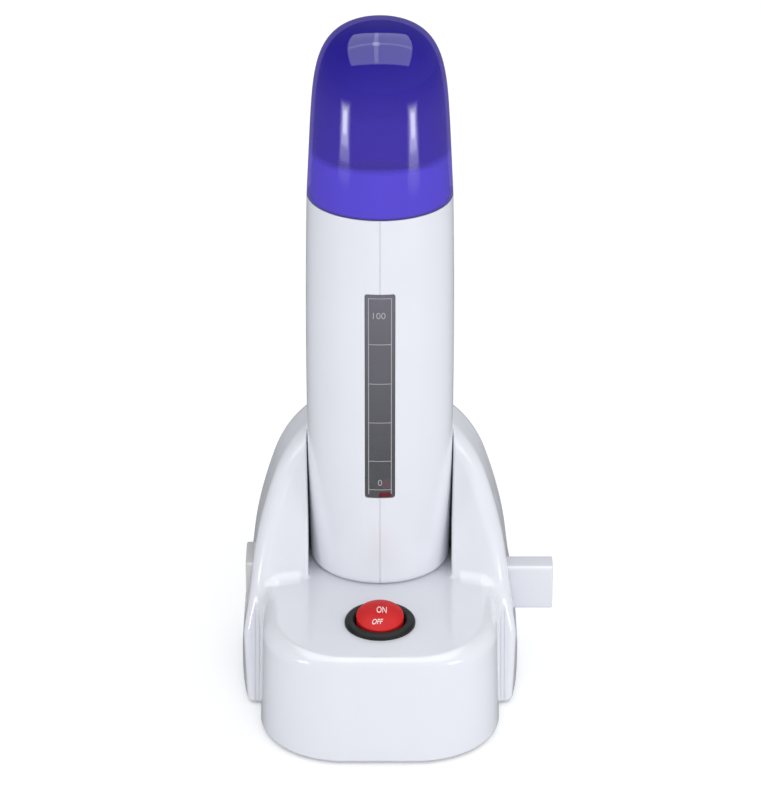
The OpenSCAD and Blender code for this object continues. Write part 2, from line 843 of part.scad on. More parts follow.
// Rocking contact on the middle terminal
module contact_blade() {
    color("goldenrod") translate([0, switch_y, blade_z]) rotate([-blade_tilt, 0, 0])
        translate([-1.5, -blade_l / 2, 0]) cube([3, blade_l, blade_t]);
}

// Upright connector on the recess floor, held by its flange under the floor
module dock_connector() {
    flange_t = 2.4;
    color("dimgray") translate([0, grip_y, ceiling_z]) difference() {
        union() {
            linear_extrude(cover_wall + dock_nose_h) inlet_outline(0);
            translate([0, 0, -flange_t]) linear_extrude(flange_t) inlet_outline(3);
            translate([0, 0, -6]) linear_extrude(6 + eps) inlet_outline(0);
        }
        poles() translate([0, 0, -7]) cylinder(h = far, r = contact_seat_r);
    }
}

// A brass sleeve that takes a pin from above, with its solder tail below
module contact_sleeve() {
    difference() {
        cylinder(h = contact_l, r = contact_seat_r);
        translate([0, 0, 1]) cylinder(h = contact_l, r = contact_r);
    }
    translate([0, 0, -4]) cylinder(h = 4 + eps, r = 0.8);
}

module dock_contacts() {
    top = platform_h + dock_nose_h - 1;
    color("goldenrod") translate([0, grip_y, top - contact_l]) poles() contact_sleeve();
}

// The side outlet: a nose through the hood's right wall, with a flange inside
module outlet_housing() {
    flange_rise = side_z + nose_w / 2 + 2 - hood_foot_h;
    arch_rise = hood_h - hood_foot_h - cover_wall;
    wall_x = (base_w / 2 - cover_wall) * sqrt(1 - pow(flange_rise / arch_rise, 2));
    flange_x = min(side_x - 8.9, wall_x - 2.6);
    color("whitesmoke") difference() {
        union() {
            on_side(flange_x) linear_extrude(side_x + outlet_out - flange_x)
                rounded(nose_w, nose_d, nose_r);
            on_side(flange_x) linear_extrude(2.4) rounded(nose_w + 4, nose_d + 4, nose_r);
        }
        on_side(flange_x - 1) poles() cylinder(h = far, r = contact_seat_r);
    }
}

module outlet_contacts() {
    color("goldenrod") on_side(side_x + outlet_out - 1 - contact_l) poles() contact_sleeve();
}

// The mains inlet: a collar in the hood's left wall round a socket with two pins
module inlet_housing() {
    out_x = side_x + collar_proud;
    in_x = out_x - socket_l - 2.5;
    color("lightgray") difference() {
        union() {
            on_side(-out_x) linear_extrude(out_x - in_x) rounded(collar_w, collar_d, nose_r);
            on_side(-in_x - 3) linear_extrude(3) rounded(collar_w, collar_d + 3, nose_r);
        }
        on_side(-out_x - 1) linear_extrude(socket_l + 1)
            rounded(nose_w + 2 * socket_gap, nose_d + 2 * socket_gap, nose_r + socket_gap);
        on_side(-out_x) poles() cylinder(h = far, r = pin_r + pin_root);
    }
}

module inlet_pins() {
    floor_x = side_x + collar_proud - socket_l;
    color("goldenrod") on_side(-floor_x - pin_l + pin_r) poles() {
        cylinder(h = pin_l - pin_r + eps, r = pin_r);
        translate([0, 0, pin_l - pin_r]) cylinder(h = 6, r = pin_r + pin_root);
        sphere(pin_r);
    }
}

// Where the wires meet the connectors and the switch
inlet_tail_x = -(side_x + collar_proud - socket_l) + 6;
outlet_tail_x = side_x + outlet_out - 5 - contact_l;
dock_tail_z = platform_h + dock_nose_h - 5 - contact_l;
lead_out = 8;

function side_pole(x, s) = [x, side_back, side_z + s * pin_pitch / 2];
function dock_pole(s, drop) = [s * pin_pitch / 2, grip_y, dock_tail_z - drop];
function terminal(s, drop) = [0, switch_y + s * terminal_pitch, terminal_z - drop];

// From the inlet to the outlet, so that a second base can be plugged into this one
module through_wire(s, z) {
    wire([side_pole(inlet_tail_x, s) + [0, 2.2 * wire_r, 0],
        side_pole(inlet_tail_x + lead_out, s) + [0, 2.2 * wire_r, 0],
        [-20, side_back + 8, z], [20, side_back + 8, z],
        side_pole(outlet_tail_x - lead_out, s), side_pole(outlet_tail_x, s)], wire_r);
}

module live_wires() {
    color("saddlebrown") {
        wire([side_pole(inlet_tail_x, 1), side_pole(inlet_tail_x + lead_out, 1), [-16, 8, 30],
            [-8, switch_y + 12, 18], terminal(1, 5), terminal(1, 0)], wire_r);
        wire([terminal(0, 0), terminal(0, 5), [8, switch_y + 6, 17], [12, 4, 26],
            dock_pole(1, 8), dock_pole(1, 0)], wire_r);
        through_wire(1, 30);
    }
}

module neutral_wires() {
    color("royalblue") {
        wire([side_pole(inlet_tail_x, -1), side_pole(inlet_tail_x + lead_out, -1),
            dock_pole(-1, 8), dock_pole(-1, 0)], wire_r);
        through_wire(-1, 22);
    }
}

shell_left();
shell_right();
level_window();
heating_chamber();
ptc_heater();
heater_clamp();
thermostat();
thermal_fuse();
indicator_board();
indicator_led();
handheld_inlet();
handheld_pins();
heater_leads();
led_leads();
shell_screws();
lid();
base_cover();
base_plate();
rubber_feet();
base_screws();
switch_body();
switch_terminals();
dock_connector();
dock_contacts();
outlet_housing();
outlet_contacts();
inlet_housing();
inlet_pins();
live_wires();
neutral_wires();
rocker();
rocker_plunger();
rocker_spring();
contact_blade();
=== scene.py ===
import itertools
import math

import bmesh
import bpy
import numpy as np
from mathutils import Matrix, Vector


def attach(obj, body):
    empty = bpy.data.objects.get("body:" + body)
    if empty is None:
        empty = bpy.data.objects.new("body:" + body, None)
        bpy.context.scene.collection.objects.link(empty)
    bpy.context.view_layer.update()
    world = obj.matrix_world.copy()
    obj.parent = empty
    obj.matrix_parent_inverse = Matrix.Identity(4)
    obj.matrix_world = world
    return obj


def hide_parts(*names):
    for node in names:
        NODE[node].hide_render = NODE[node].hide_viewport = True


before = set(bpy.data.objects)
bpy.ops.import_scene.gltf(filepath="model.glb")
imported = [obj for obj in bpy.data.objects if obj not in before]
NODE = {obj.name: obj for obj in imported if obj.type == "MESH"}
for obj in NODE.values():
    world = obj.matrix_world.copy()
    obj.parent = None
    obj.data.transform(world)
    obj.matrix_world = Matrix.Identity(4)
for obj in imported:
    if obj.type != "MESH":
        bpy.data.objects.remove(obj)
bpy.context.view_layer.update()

MM = 0.001
QUARTER = [math.radians(a) for a in range(15, 91, 15)]      # the steps of a rounded edge, after its first

# ---------------------------------------------------------------- sizes in millimetres, as in the CAD source
PLATFORM_Z = 46.5                       # the platform's top
GRIP_W, GRIP_D = 57.7, 53.1             # the handheld's width and depth at its belly
GRIP_Y, GRIP_Z = 28.4, PLATFORM_Z       # its middle and its foot
SHOULDER_Z = 205.5                      # where the lid's edge stands
BELLY_RISE = 0.75                       # how far the belly stands out past the shoulder
BELLY_Z = GRIP_Z + (SHOULDER_Z - GRIP_Z) * 0.57
BELLY = BELLY_RISE / (SHOULDER_Z - BELLY_Z) ** 2
SHELL_WALL, FOOT_R = 1.8, 3.0           # the shell's wall, and the round edge of its foot

NECK_H, NECK_INSET, NECK_WALL = 20.5, 1.65, 1.2
RIM_Z = SHOULDER_Z + NECK_H             # the neck's sloping rim, at its front
RIM_Y = GRIP_Y - (GRIP_D / 2 - BELLY_RISE - NECK_INSET)
RIM_SLOPE = math.tan(math.radians(20))

LID_H, LID_WALL = 70.0, 1.4
LID_TAPER = 0.05                        # how much each side leans in, per millimetre of height
DOME_FLATNESS, DOME_ROUNDNESS = 7, 2.7  # powers that shape the lid's dome

WINDOW_W, WINDOW_Z0, WINDOW_Z1 = 11.6, 86.6, 174.9
BAR_Z, BAR_STEP, BARS = 102.9, 16.93, 4

SWITCH_Y, BORE = -25.3, 9.8             # the switch's middle, and the radius of its bore
SIDE_Y, SIDE_Z = 22.0, 37.2             # the middle of both side connectors
NOSE_W, NOSE_D, NOSE_R, NOSE_START, NOSE_END = 19.2, 10.0, 1.6, 46.4, 69.0
COLLAR_W, COLLAR_D, COLLAR_END, COLLAR_L = NOSE_W + 8.4, NOSE_D + 9, -53.4, 16.5


def grip_half(z):
    """Half the handheld's width at height z."""
    return GRIP_W / 2 - BELLY * (z - BELLY_Z) ** 2


def ratio(inset):
    """Depth over width of an oval that lies inset millimetres inside the handheld's skin."""
    return (GRIP_D - 2 * inset) / (GRIP_W - 2 * inset)


def lid_half(h):
    """Half the lid's width at h above the shoulder: leaning walls that a dome closes."""
    straight = grip_half(SHOULDER_Z) - LID_TAPER * h
    return straight * max(1 - (h / LID_H) ** DOME_FLATNESS, 0.0) ** (1 / DOME_ROUNDNESS)


# ---------------------------------------------------------------- mesh helpers
def add_object(name, data):
    ob = bpy.data.objects.new(name, data)
    bpy.context.scene.collection.objects.link(ob)
    return ob


def add_mesh(name, points, faces, mat=None, smooth=None, normals=None):
    """A mesh object from millimetres. Edges under smooth degrees are soft; normals are per point."""
    me = bpy.data.meshes.new(name)
    me.from_pydata((np.asarray(points, float) * MM).tolist(), [], faces)
    me.validate()
    if mat:
        me.materials.append(mat)
    if smooth is not None:
        soften(me, smooth)
    if normals is not None:
        me.polygons.foreach_set("use_smooth", [True] * len(me.polygons))
        me.normals_split_custom_set_from_vertices(normals.tolist())
    return add_object(name, me)


def paint(ob, mat):
    """Leaves the object with one material."""
    ob.data.materials.clear()
    ob.data.materials.append(mat)


def edit(me, change):
    """Runs change on the mesh as a bmesh."""
    bm = bmesh.new()
    bm.from_mesh(me)
    change(bm)
    bm.to_mesh(me)
    bm.free()


def soften(me, angle):
    """Smooth shading over the edges that turn by less than angle degrees."""
    limit = math.radians(angle)

    def change(bm):
        for face in bm.faces:
            face.smooth = True
        for edge in bm.edges:
            edge.smooth = len(edge.link_faces) == 2 and edge.calc_face_angle(0) < limit

    edit(me, change)


def face_outwards(me):
    edit(me, lambda bm: bmesh.ops.recalc_face_normals(bm, faces=bm.faces[:]))


def weld(me):
    """Joins points that coincide, and turns the faces outwards."""
    edit(me, lambda bm: bmesh.ops.remove_doubles(bm, verts=bm.verts[:], dist=1e-7))
    face_outwards(me)


def loft(rings, caps=True):
    """Quads between equal closed rings of points, with one polygon over each end."""
    n = len(rings[0])
    faces = []
    for i in range(len(rings) - 1):
        for k in range(n):
            j = (k + 1) % n
            faces.append((i * n + k, i * n + j, (i + 1) * n + j, (i + 1) * n + k))
    if caps:
        last = (len(rings) - 1) * n
        faces.append(tuple(range(n - 1, -1, -1)))
        faces.append(tuple(range(last, last + n)))
    return [p for r in rings for p in r], faces


def cut(ob, sections):
    """Takes the solid between equal sections away from the object."""
    cutter = add_mesh("cutter", *loft(sections))
    face_outwards(cutter.data)
    modifier = ob.modifiers.new("cut", "BOOLEAN")
    modifier.operation = "DIFFERENCE"
    modifier.solver = "EXACT"
    modifier.object = cutter
    whole = ob.data
    evaluated = ob.evaluated_get(bpy.context.evaluated_depsgraph_get())
    ob.data = bpy.data.meshes.new_from_object(evaluated)
    ob.modifiers.clear()
    bpy.data.meshes.remove(whole)
    bpy.data.objects.remove(cutter)


def join(name, parts):
    """One object from several, with their materials."""
    bm = bmesh.new()
    mats = []
    for part in parts:
        mats += [m for m in part.data.materials if m not in mats]
        start = len(bm.faces)
        bm.from_mesh(part.data)
        bm.faces.ensure_lookup_table()
        for face in bm.faces[start:]:
            face.material_index = mats.index(part.data.materials[face.material_index])
    me = bpy.data.meshes.new(name)
    bm.to_mesh(me)
    bm.free()
    for m in mats:
        me.materials.append(m)
    for part in parts:
        old = part.data
        bpy.data.objects.remove(part)
        bpy.data.meshes.remove(old)
    return add_object(name, me)


def circle(r, n):
    """n points round a circle of radius r."""
    return [(r * math.cos(a), r * math.sin(a)) for a in np.linspace(0, 2 * math.pi, n + 1)[:-1]]


def ring(w, z, narrow):
    """An oval of half width w round the handheld's axis; z is its height, or gives it for each y."""
    points = []
    for x, q in circle(w, 160):
        y = GRIP_Y + narrow * q
        points.append((x, y, z(y) if callable(z) else z))
    return points


def rounded_loop(w, h, r, n=6):
    """A rounded rectangle, w by h, anticlockwise, with n steps in each corner."""
    points = []
    for quarter, (sx, sy) in enumerate(((1, 1), (-1, 1), (-1, -1), (1, -1))):
        for k in range(n + 1):
            a = math.radians(90 * (quarter + k / n))
            points.append((sx * (w / 2 - r) + r * math.cos(a), sy * (h / 2 - r) + r * math.sin(a)))
    return points


def turned(name, profile, mat, centre=(0, 0, 0), n=128):
    """A body turned about a vertical axis through centre, from a closed loop of (radius, height)."""
    cx, cy, cz = centre
    sections = [[(cx + r * c, cy + r * s, cz + z) for r, z in profile] for c, s in circle(1, n)]
    ob = add_mesh(name, *loft(sections + sections[:1], caps=False), mat)
    weld(ob.data)
    soften(ob.data, 40)
    return ob


def tube(name, path, r, mat, n=10):
    """A round bead of radius r along a list of points."""
    rings = []
    for i, p in enumerate(path):
        way = Vector(path[min(i + 1, len(path) - 1)]) - Vector(path[max(i - 1, 0)])
        u = way.cross(Vector((0, 1, 0))).normalized()
        v = way.normalized().cross(u)
        rings.append([tuple(Vector(p) + c * u + s * v) for c, s in circle(r, n)])
    ob = add_mesh(name, *loft(rings), mat)
    face_outwards(ob.data)
    soften(ob.data, 60)
    return ob


def lettering(name, text, size, lean, mat, place):
    """Generic figures or words. place(u, v, w) puts each point, where w is over 0 on the outer face."""
    curve = bpy.data.curves.new(name, "FONT")
    curve.body, curve.size, curve.shear = text, size, lean
    curve.align_x = curve.align_y = "CENTER"
    curve.extrude, curve.resolution_u = 0.2, 6
    flat = add_object(name, curve)
    me = bpy.data.meshes.new_from_object(flat.evaluated_get(bpy.context.evaluated_depsgraph_get()))
    bpy.data.objects.remove(flat)
    for v in me.vertices:
        v.co = Vector(place(*v.co)) * MM
    ob = add_object(name, me)
    paint(ob, mat)
    return ob


# ---------------------------------------------------------------- shader helpers
def material(name):
    m = bpy.data.materials.new(name)
    m.use_nodes = True
    return m, m.node_tree, m.node_tree.nodes["Principled BSDF"]


def feed(nt, node, inputs):
    """Sets the node's sockets to plain values, or links outputs into them."""
    for socket, value in inputs.items():
        if isinstance(value, bpy.types.NodeSocket):
            nt.links.new(value, node.inputs[socket])
        else:
            node.inputs[socket].default_value = value
    return node


def add_node(nt, kind, inputs):
    return feed(nt, nt.nodes.new("ShaderNode" + kind), inputs)


def noise(nt, scale, detail, stretch=None):
    """Noise in the object's own space, drawn out along an axis where stretch says so."""
    space = add_node(nt, "TexCoord", {}).outputs["Object"]
    if stretch:
        space = add_node(nt, "Mapping", {"Vector": space, "Scale": stretch}).outputs["Vector"]
    return add_node(nt, "TexNoise", {"Vector": space, "Scale": scale, "Detail": detail}).outputs["Fac"]


def ramp(nt, source, stops):
    """Colours, or grey levels where a stop gives one number, along the source's value."""
    node = add_node(nt, "ValToRGB", {"Fac": source})
    elements = node.color_ramp.elements
    while len(elements) < len(stops):
        elements.new(0.5)
    for element, (position, colour) in zip(elements, stops):
        element.position = position
        element.color = (*colour, 1) if isinstance(colour, tuple) else (colour, colour, colour, 1)
    return node.outputs["Color"]


def by_height(nt, z0, z1, stops):
    """Colours along the height, with the stops running from 0 at z0 to 1 at z1, in millimetres."""
    space = add_node(nt, "TexCoord", {}).outputs["Object"]
    z = add_node(nt, "SeparateXYZ", {0: space}).outputs["Z"]
    span = add_node(nt, "MapRange", {"Value": z, "From Min": z0 * MM, "From Max": z1 * MM})
    return ramp(nt, span.outputs["Result"], stops)


def mix_colour(nt, share, first, second, blend="MIX"):
    node = add_node(nt, "MixRGB", {"Fac": share, "Color1": first, "Color2": second})
    node.blend_type = blend
    return node.outputs["Color"]


def drifting(nt, colour, patches, least):
    """The colour, multiplied by patches between least and 1."""
    return mix_colour(nt, 1.0, colour, ramp(nt, patches, [(0.3, least), (0.7, 1.0)]), "MULTIPLY")


def mix_shader(nt, share, first, second):
    return add_node(nt, "MixShader", {0: share, 1: first, 2: second}).outputs["Shader"]


def transparent(nt, colour):
    return add_node(nt, "BsdfTransparent", {"Color": (*colour, 1)}).outputs["BSDF"]


def bump(nt, bsdf, source, strength, distance):
    node = add_node(nt, "Bump", {"Height": source, "Strength": strength, "Distance": distance})
    feed(nt, bsdf, {"Normal": node.outputs["Normal"]})


def show(nt, shader):
    feed(nt, nt.nodes["Material Output"], {"Surface": shader})


# ---------------------------------------------------------------- materials
def plastic(name, colour, rough, grain, grain_depth, spread=0.02, rough_spread=0.04, coat=0.0, shine=0.5):
    """Moulded plastic or the like: patchy colour and roughness, and a fine surface grain."""
    m, nt, b = material(name)
    darker = tuple(c * (1 - spread) for c in colour)
    lighter = tuple(c * (1 + spread) for c in colour)
    smoother, rougher = rough - rough_spread, rough + rough_spread
    feed(nt, b, {
        "Base Color": ramp(nt, noise(nt, 22.0, 3.0), [(0.3, darker), (0.7, lighter)]),
        "Roughness": ramp(nt, noise(nt, 140.0, 3.0), [(0.3, smoother), (0.7, rougher)]),
        "Specular IOR Level": shine,
        "Coat Weight": coat,
        "Coat Roughness": 0.06,
    })
    bump(nt, b, noise(nt, grain, 2.0), 0.35, grain_depth)
    return m


def metal(name, colour, rough):
    """Bare metal with streaks drawn along Z."""
    m, nt, b = material(name)
    streaks = noise(nt, 900.0, 3.0, stretch=(1.0, 1.0, 0.06))
    darker = tuple(c * 0.9 for c in colour)
    feed(nt, b, {
        "Base Color": ramp(nt, streaks, [(0.35, darker), (0.65, colour)]),
        "Roughness": ramp(nt, streaks, [(0.3, rough), (0.7, rough + 0.18)]),
        "Metallic": 1.0,
    })
    bump(nt, b, streaks, 0.2, 0.00002)
    return m


WHITE = plastic("white_abs", (0.70, 0.715, 0.77), 0.22, 1500, 0.000004, spread=0.012, coat=0.35)
MATT_WHITE = plastic("white_abs_matt", (0.68, 0.69, 0.73), 0.45, 1800, 0.00003)
# light grey plastic, its colour partly darkened with painted shade
GREY_AND_SHADE = plastic("warm_white", (0.53, 0.53, 0.53), 0.35, 1500, 0.000008)
BLACK = plastic("switch_black", (0.017, 0.018, 0.018), 0.42, 2600, 0.00012, spread=0.15, rough_spread=0.12,
                shine=0.15)
RED = plastic("rocker_red", (0.56, 0.014, 0.015), 0.36, 2200, 0.00001, spread=0.04, shine=0.12)
PRINT = plastic("legend_white", (0.80, 0.78, 0.78), 0.5, 3000, 0.00001)
RUBBER = plastic("feet_rubber", (0.035, 0.035, 0.036), 0.75, 2000, 0.00006, spread=0.1)
DARK = plastic("dark_insulator", (0.05, 0.05, 0.055), 0.5, 1800, 0.00004, spread=0.08)
CERAMIC = plastic("ceramic", (0.72, 0.66, 0.54), 0.7, 1400, 0.00006, spread=0.06)
BOARD = plastic("circuit_board", (0.02, 0.16, 0.06), 0.35, 900, 0.00003, spread=0.1)
BROWN = plastic("wire_brown", (0.12, 0.05, 0.025), 0.45, 1200, 0.00002, spread=0.06)
BLUE_WIRE = plastic("wire_blue", (0.02, 0.07, 0.30), 0.45, 1200, 0.00002, spread=0.06)
# painted glow: a dull red with no light of its own, standing for the indicator's light on the lens
GLOW = plastic("glow_red", (0.13, 0.012, 0.020), 0.3, 1500, 0.00001, spread=0.2)
LINE = plastic("window_frame", (0.34, 0.34, 0.36), 0.3, 2000, 0.00001)
ALU = metal("chamber_aluminium", (0.55, 0.55, 0.57), 0.32)
STEEL = metal("steel", (0.56, 0.56, 0.58), 0.3)
BRASS = metal("contact_brass", (0.72, 0.52, 0.22), 0.25)

PAINTED_GAP_SHADOW, PAINTED_NECK_LIGHT = (0.010, 0.008, 0.05), (0.140, 0.098, 0.72)     # painted shadow of the gap along the lid's foot, and the lid's violet made paler over the neck by painted light from the white neck behind it
LID_LOW, LID_MIDDLE, CROWN = (0.078, 0.052, 0.40), (0.072, 0.048, 0.38), (0.020, 0.011, 0.28)


def lid_material(name, polished):
    """Translucent violet-blue plastic, with a painted shadow line at its foot, and paler over the neck with
    painted light from the white neck behind. It shines only where it is polished.
    """
    m, nt, b = material(name)
    # painted shadow at the foot, then painted light over the neck, then the plain violet, darker towards the
    # crown
    colour = by_height(nt, SHOULDER_Z, SHOULDER_Z + LID_H, [
        (0.0, PAINTED_GAP_SHADOW), (0.006, PAINTED_GAP_SHADOW), (0.012, PAINTED_NECK_LIGHT), (0.257, PAINTED_NECK_LIGHT), (0.30, LID_LOW), (0.55, LID_MIDDLE),
        (0.90, CROWN)])
    feed(nt, b, {
        "Base Color": drifting(nt, colour, noise(nt, 30.0, 3.0), 0.94),
        "Roughness": 0.5,
        "Specular IOR Level": 0.0,
    })
    skin = mix_shader(nt, 0.5, transparent(nt, (0.50, 0.42, 0.90)), b.outputs["BSDF"])
    if polished:
        # faces seen from behind would mirror everything, so only the front of a face has a gloss
        fresnel = add_node(nt, "Fresnel", {"IOR": 1.5}).outputs["Fac"]
        behind = add_node(nt, "NewGeometry", {}).outputs["Backfacing"]
        gloss = add_node(nt, "BsdfGlossy", {
            "Color": (1, 1, 1, 1),
            "Roughness": ramp(nt, noise(nt, 40.0, 1.0), [(0.3, 0.045), (0.7, 0.05)]),
        })
        skin = mix_shader(nt, mix_colour(nt, behind, fresnel, (0, 0, 0, 1)), skin, gloss.outputs["BSDF"])
    shadow_ray = add_node(nt, "LightPath", {}).outputs["Is Shadow Ray"]
    show(nt, mix_shader(nt, shadow_ray, skin, transparent(nt, (1, 1, 1))))
    return m


def lens_material():
    """Smoky clear plastic, darker towards its foot, with a painted reflection that lightens it towards its
    top.
    """
    m, nt, b = material("window_lens")
    patches = noise(nt, 60.0, 3.0)
    # painted reflection: the lens grows lighter towards its top
    shade = by_height(nt, 100.0, 175.0, [(0.0, (0.104, 0.106, 0.115)), (1.0, (0.195, 0.188, 0.225))])
    feed(nt, b, {
        "Base Color": drifting(nt, shade, patches, 0.95),
        "Roughness": ramp(nt, patches, [(0.3, 0.20), (0.7, 0.24)]),
    })
    show(nt, mix_shader(nt, 0.72, transparent(nt, (0.80, 0.80, 0.83)), b.outputs["BSDF"]))
    return m


def led_material():
    """The red lens of the indicator, faintly lit."""
    m, nt, b = material("led_red")
    patches = noise(nt, 400.0, 2.0)
    feed(nt, b, {
        "Base Color": ramp(nt, patches, [(0.3, (0.60, 0.01, 0.02)), (0.7, (0.75, 0.02, 0.03))]),
        "Roughness": ramp(nt, patches, [(0.3, 0.12), (0.7, 0.2)]),
        "Emission Color": (1.0, 0.05, 0.08, 1),
        "Emission Strength": 0.6,
    })
    return m


LID, LID_IN = lid_material("lid_blue", True), lid_material("lid_blue_inside", False)
LENS = lens_material()
LED = led_material()

# ---------------------------------------------------------------- the base cover, as a distance field
BASE_HALF, BASE_REAR = 55.3, 60.55                          # half the base's width, and its back
PLATFORM_HALF, PLATFORM_FRONT, PLATFORM_BACK = 47.0, -55.0, 40.0
CORNER_R, PLATFORM_DRAFT, PLATFORM_EDGE, EDGE_GROWTH = 33.0, 0.028, 3.6, 2.6
SIDE_R, SIDE_R_Y = 150.0, 20.0                              # the hood's bulging sides, seen from above
ARCH_FOOT, ARCH_H, CROWN_Z, CROWN_R = 4.0, 123.0, 37.0, 73.0    # the hood's outline, seen from the front
WAIST, WAIST_Z, WAIST_SPREAD = 1.0, 42.0, 13.0              # how much slimmer it is above its foot
HOOD_FRONT, HOOD_LEAN = -11.3, math.radians(20)             # its front face: y at the floor, and its lean
SET_BACK, SET_BACK_IN, SET_BACK_OUT = 3.5, 29.0, 47.0       # the face sits further back near the handheld
WELL_HALF, WELL_LEAST, WELL_DEPTH = 29.2, 28.4, 27.15        # the recess round the handheld
COVER_WALL, COVER_BOTTOM = 2.5, 1.0
SWITCH_HOLE, SWITCH_HOLE_Z = 11.5, 30.0
SIDE_HOLE_R, SIDE_HOLE_GROWTH, SIDE_HOLE_X = 1.45, 0.15, 44.0


def rounded_max(a, b, r):
    """The larger of two distances, with an edge of radius r where they meet."""
    return np.minimum(np.maximum(a, b), -r) + np.hypot(np.maximum(a + r, 0), np.maximum(b + r, 0))


def rounded_min(a, b, r):
    return -rounded_max(-a, -b, r)


def step(v, lo, hi):
    """0 below lo and 1 over hi, with a soft change between them."""
    t = np.clip((v - lo) / (hi - lo), 0, 1)
    return t * t * (3 - 2 * t)


def oval_field(x, y, a, b):
    """About the distance to an ellipse of half axes a and b."""
    k0 = np.hypot(x / a, y / b) + 1e-9
    k1 = np.hypot(x / (a * a), y / (b * b)) + 1e-9
    return k0 * (k0 - 1) / k1


def corner_field(p, q, r):
    """The distance to a corner of radius r, where p and q are measured from the arc's middle."""
    return np.hypot(np.maximum(p, 0), np.maximum(q, 0)) + np.minimum(np.maximum(p, q), 0) - r


def cover_field(x, y, z):
    """Signed distance to the base cover's skin before it is hollowed."""
    ax = np.abs(x)
    block = corner_field(ax - (PLATFORM_HALF - CORNER_R), PLATFORM_FRONT + CORNER_R - y, CORNER_R)
    block = np.maximum(block + PLATFORM_DRAFT * z, y - PLATFORM_BACK)
    top_edge = PLATFORM_EDGE + EDGE_GROWTH * step(ax, 14.0, 40.0)
    platform = rounded_max(block, z - PLATFORM_Z, top_edge)

    side = np.hypot(ax - (BASE_HALF - SIDE_R), y - SIDE_R_Y) - SIDE_R
    arch = oval_field(x, np.maximum(z - ARCH_FOOT, 0.0), BASE_HALF, ARCH_H)
    arch = arch + WAIST * np.exp(-((z - WAIST_Z) / WAIST_SPREAD) ** 2)
    crown = np.hypot(x, z - CROWN_Z) - CROWN_R
    crown_edge = 10.0
    rear_edge = 18.0 - 7.5 * step(z, 50.0, 105.0)
    front_edge = 2.5 + 5.0 * step(z, 15.0, 80.0)
    outline = rounded_max(np.maximum(side, arch), crown, crown_edge)
    front_y = HOOD_FRONT + SET_BACK * (1 - step(ax, SET_BACK_IN, SET_BACK_OUT)) + z * math.tan(HOOD_LEAN)
    front = (front_y - y) * math.cos(HOOD_LEAN)
    hood = rounded_max(rounded_max(outline, y - BASE_REAR, rear_edge), front, front_edge)

    snug = np.maximum(WELL_HALF - BELLY * (z - BELLY_Z) ** 2, WELL_LEAST)
    behind = oval_field(x, np.maximum(y - GRIP_Y, 0.0), snug, WELL_DEPTH)
    well = np.where(y < GRIP_Y, ax - snug, behind)
    well_edge, blend = 0.9, 1.4 + 3.6 * step(well, 0.0, 4.0) * step(z, 24.0, 50.0)
    walls = rounded_max(hood, -well, well_edge)
    return np.minimum(rounded_min(platform, walls, blend), np.maximum(hood, z - PLATFORM_Z))


def cover_shell(x, y, z):
    """Signed distance to the hollow cover, with its holes for the switch, the collar and the nose."""
    skin = cover_field(x, y, z)
    shell = np.maximum(skin, -(skin + COVER_WALL))
    switch_edge, side_edge, foot_edge = 0.3, 0.25, 1.2
    hole = np.maximum(np.hypot(x, y - SWITCH_Y) - SWITCH_HOLE, SWITCH_HOLE_Z - z)
    shell = rounded_max(shell, -hole, switch_edge)
    for side, tall, deep in ((-1, COLLAR_W, COLLAR_D), (1, NOSE_W, NOSE_D)):
        across = np.abs(y - SIDE_Y) - deep / 2 + SIDE_HOLE_R
        up = np.abs(z - SIDE_Z) - tall / 2 + SIDE_HOLE_R
        hole = corner_field(across, up, SIDE_HOLE_R + SIDE_HOLE_GROWTH)
        shell = rounded_max(shell, -np.maximum(hole, SIDE_HOLE_X - side * x), side_edge)
    return rounded_max(shell, COVER_BOTTOM - z, foot_edge)


CORNERS = np.array(list(itertools.product((0, 1), repeat=3)))


def sampled(field, axes):
    """The field on a grid, some slices at a time to save memory."""
    x, y, z = np.meshgrid(*axes, indexing="ij", sparse=True)
    values = np.empty([len(a) for a in axes], np.float32)
    slices = 16
    for i in range(0, len(x), slices):
        values[i:i + slices] = field(x[i:i + slices], y, z)
    return values


def crossed_cells(inside):
    """Marks the grid cells whose corners aren't all on one side of the surface."""
    nx, ny, nz = (n - 1 for n in inside.shape)
    first = inside[:-1, :-1, :-1]
    crossed = np.zeros(first.shape, bool)
    for dx, dy, dz in CORNERS:
        crossed |= inside[dx:nx + dx, dy:ny + dy, dz:nz + dz] != first
    return crossed


def crossing_points(values, cells):
    """For each cell, the mean of the places where the surface cuts its edges, in cells."""
    at = [values[tuple((cells + corner).T)] for corner in CORNERS]
    total, count = np.zeros((len(cells), 3)), np.zeros(len(cells))
    for p, q in itertools.combinations(range(len(CORNERS)), 2):
        along = CORNERS[q] - CORNERS[p]
        if np.abs(along).sum() == 1:
            hit = (at[p] < 0) != (at[q] < 0)
            share = np.where(hit, at[p] / np.where(hit, at[p] - at[q], 1), 0)
            total += np.where(hit[:, None], CORNERS[p] + share[:, None] * along, 0)
            count += hit
    return cells + total / count[:, None]


def crossing_quads(inside, number):
    """A quad between the four cells round each grid edge that the surface cuts."""
    quads = []
    for axis in range(3):
        u, v = [k for k in range(3) if k != axis]
        start, end = np.delete(inside, -1, axis), np.delete(inside, 0, axis)
        edges = np.argwhere(start != end)
        around = []
        for du, dv in ((1, 1), (0, 1), (0, 0), (1, 0)):
            cell = edges.copy()
            cell[:, u] -= du
            cell[:, v] -= dv
            around.append(number[tuple(cell.T)])
        quad = np.stack(around, 1)
        leaves = start[tuple(edges.T)]
        turn = leaves if axis == 1 else ~leaves
        quad[turn] = quad[turn][:, ::-1]
        quads.append(quad)
    return np.concatenate(quads)


def gradient(field, points):
    e = 0.02
    return np.stack([field(*(points + d).T) - field(*(points - d).T) for d in np.eye(3) * e], 1) / (2 * e)


